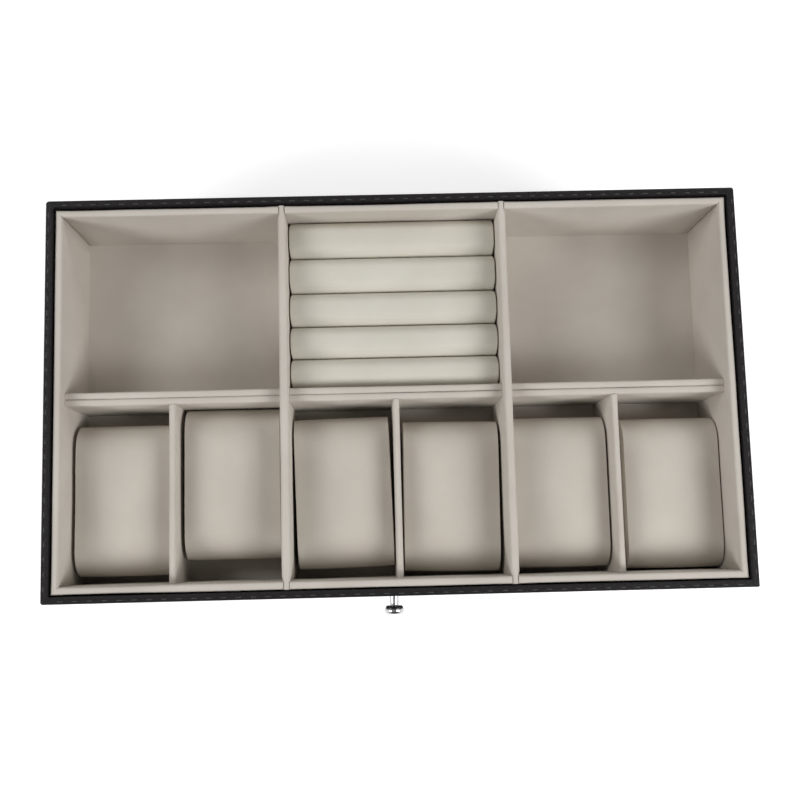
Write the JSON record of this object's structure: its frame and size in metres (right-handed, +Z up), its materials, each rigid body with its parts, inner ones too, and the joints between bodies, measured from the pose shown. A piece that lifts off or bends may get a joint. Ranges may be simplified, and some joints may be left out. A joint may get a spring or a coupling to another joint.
{
  "type": "watch box",
  "caption": "Open-topped leather-look watch box with a velvet-lined tray of loose watch pillows, ring rolls and two compartments above a pull-out drawer.",
  "frame": {"origin": "middle of the underside of the case, on its felt", "axes": "+X to the right, +Y to the back, +Z up; the drawer opens towards -Y"},
  "size_m": [0.3358, 0.2081, 0.12],
  "materials": {
    "leather": "black pebbled leather-look, semi-matt",
    "velvet": "short smooth pile, warm grey",
    "pillow_velvet": "short smooth pile, warm grey",
    "roll_velvet": "short smooth pile, cream",
    "board": "raw fibreboard",
    "felt": "black felt",
    "foam": "open-cell foam",
    "metal": "polished"
  },
  "bodies": {
    "case": {"felt_base_cover": "felt", "base_panel": "board", "left_side_panel": "board", "right_side_panel": "board", "back_panel": "board", "front_panel": "board", "shelf_panel": "board", "outer_wrap": "leather", "bay_floor_lining": "velvet", "bay_left_lining": "velvet", "bay_right_lining": "velvet", "bay_back_lining": "velvet", "tray_floor": "velvet", "left_liner": "velvet", "right_liner": "velvet", "back_liner_left": "velvet", "back_liner_middle": "velvet", "back_liner_right": "velvet", "front_liner_left": "velvet", "front_liner_middle": "velvet", "front_liner_right": "velvet", "left_divider": "velvet", "right_divider": "velvet", "cross_wall_back_left": "velvet", "cross_wall_back_middle": "velvet", "cross_wall_back_right": "velvet", "cross_wall_front_left": "velvet", "cross_wall_front_middle": "velvet", "cross_wall_front_right": "velvet", "slot_divider_left": "velvet", "slot_divider_middle": "velvet", "slot_divider_right": "velvet", "ring_foam_block": "foam", "ring_board": "board", "ring_roll_1": "roll_velvet", "ring_roll_2": "roll_velvet", "ring_roll_3": "roll_velvet", "ring_roll_4": "roll_velvet", "ring_roll_5": "roll_velvet"},
    "drawer": {"drawer_front_board": "board", "drawer_front_wrap": "leather", "drawer_left_side": "velvet", "drawer_right_side": "velvet", "drawer_back": "velvet", "drawer_bottom": "board", "drawer_floor_lining": "velvet", "drawer_left_lining": "velvet", "drawer_right_lining": "velvet", "drawer_back_lining": "velvet", "drawer_front_lining": "velvet", "knob": "metal", "knob_screw": "metal", "knob_washer": "metal"},
    "pillow_1": {"watch_pillow_1": "pillow_velvet"},
    "pillow_2": {"watch_pillow_2": "pillow_velvet"},
    "pillow_3": {"watch_pillow_3": "pillow_velvet"},
    "pillow_4": {"watch_pillow_4": "pillow_velvet"},
    "pillow_5": {"watch_pillow_5": "pillow_velvet"},
    "pillow_6": {"watch_pillow_6": "pillow_velvet"}
  },
  "joints": [
    {"name": "drawer_slide", "type": "slide", "parent": "case", "child": "drawer", "axis": [0, -1, 0], "range_m": [0, 0.13]},
    {"name": "pillow_1_lift", "type": "slide", "parent": "case", "child": "pillow_1", "axis": [0, 0, 1], "range_m": [0, 0.06]},
    {"name": "pillow_2_lift", "type": "slide", "parent": "case", "child": "pillow_2", "axis": [0, 0, 1], "range_m": [0, 0.06]},
    {"name": "pillow_3_lift", "type": "slide", "parent": "case", "child": "pillow_3", "axis": [0, 0, 1], "range_m": [0, 0.06]},
    {"name": "pillow_4_lift", "type": "slide", "parent": "case", "child": "pillow_4", "axis": [0, 0, 1], "range_m": [0, 0.06]},
    {"name": "pillow_5_lift", "type": "slide", "parent": "case", "child": "pillow_5", "axis": [0, 0, 1], "range_m": [0, 0.06]},
    {"name": "pillow_6_lift", "type": "slide", "parent": "case", "child": "pillow_6", "axis": [0, 0, 1], "range_m": [0, 0.06]}
  ]
}
